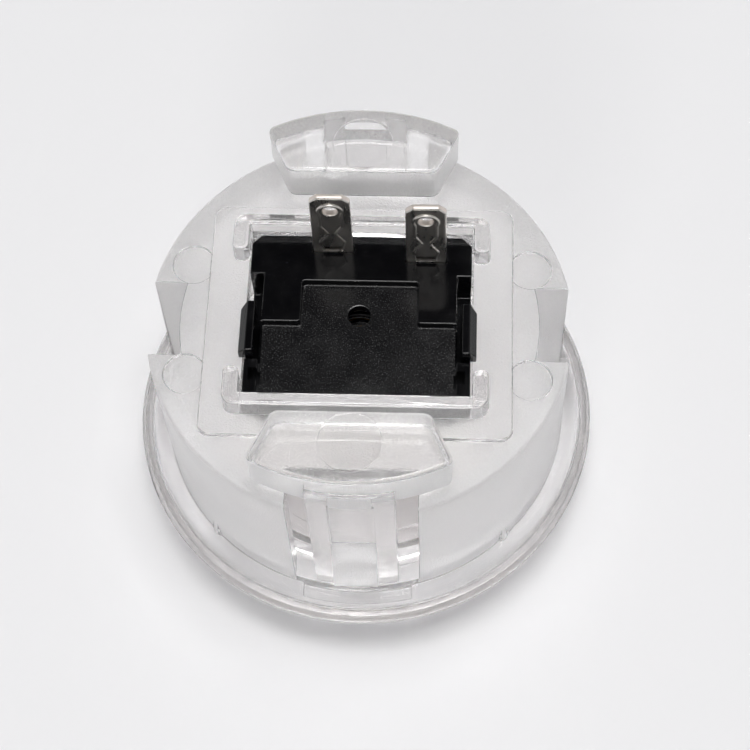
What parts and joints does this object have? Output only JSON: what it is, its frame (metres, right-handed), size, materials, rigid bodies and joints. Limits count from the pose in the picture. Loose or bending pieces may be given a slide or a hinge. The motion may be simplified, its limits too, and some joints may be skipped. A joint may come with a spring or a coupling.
{
  "type": "arcade push button",
  "caption": "Clear round snap-in push button with a wide rim, squeeze latches, a sprung plunger and a black switch with solder blades, shown face down.",
  "frame": {"origin": "on the surface it lies on, under the middle of the rim: the crown of the plunger touches Z = 0", "axes": "+Z from the plunger to the solder blades, along the button's axis; latches at -Y and +Y; blades towards +Y"},
  "size_m": [0.034, 0.034, 0.0268],
  "materials": {
    "clear_plastic": "clear moulded polycarbonate, polished with faint moulding haze",
    "black_plastic": "moulded black plastic, glossy with a fine spark-eroded front panel",
    "actuator_plastic": "plain moulded off-white plastic, undyed",
    "spring_steel": "bright drawn wire",
    "bridge_metal": "stamped copper alloy strip",
    "contact_silver": "plain silver alloy rivet",
    "tinned_metal": "stamped strip, bright tinned, with coined edges"
  },
  "bodies": {
    "housing": {"housing": "clear_plastic", "switch_case": "black_plastic", "switch_cover": "actuator_plastic", "common_terminal": "tinned_metal", "normally_open_terminal": "tinned_metal", "fixed_contacts": "contact_silver", "return_spring": "spring_steel"},
    "plunger": {"plunger_cap": "clear_plastic", "plunger_carrier": "clear_plastic"},
    "actuator": {"switch_actuator": "actuator_plastic", "contact_bridge": "bridge_metal", "moving_contacts": "contact_silver"}
  },
  "joints": [
    {"name": "plunger_slide", "type": "slide", "parent": "housing", "child": "plunger", "axis": [0, 0, 1], "range_m": [0, 0.0022], "stiffness_N_per_m": 100, "springref_m": -0.006},
    {"name": "actuator_slide", "type": "slide", "parent": "housing", "child": "actuator", "axis": [0, 0, 1], "range_m": [0, 0.0022], "deforming": ["return_spring"]}
  ],
  "couplings": [
    {"joint": "actuator_slide", "follows": "plunger_slide", "ratio": 1}
  ]
}
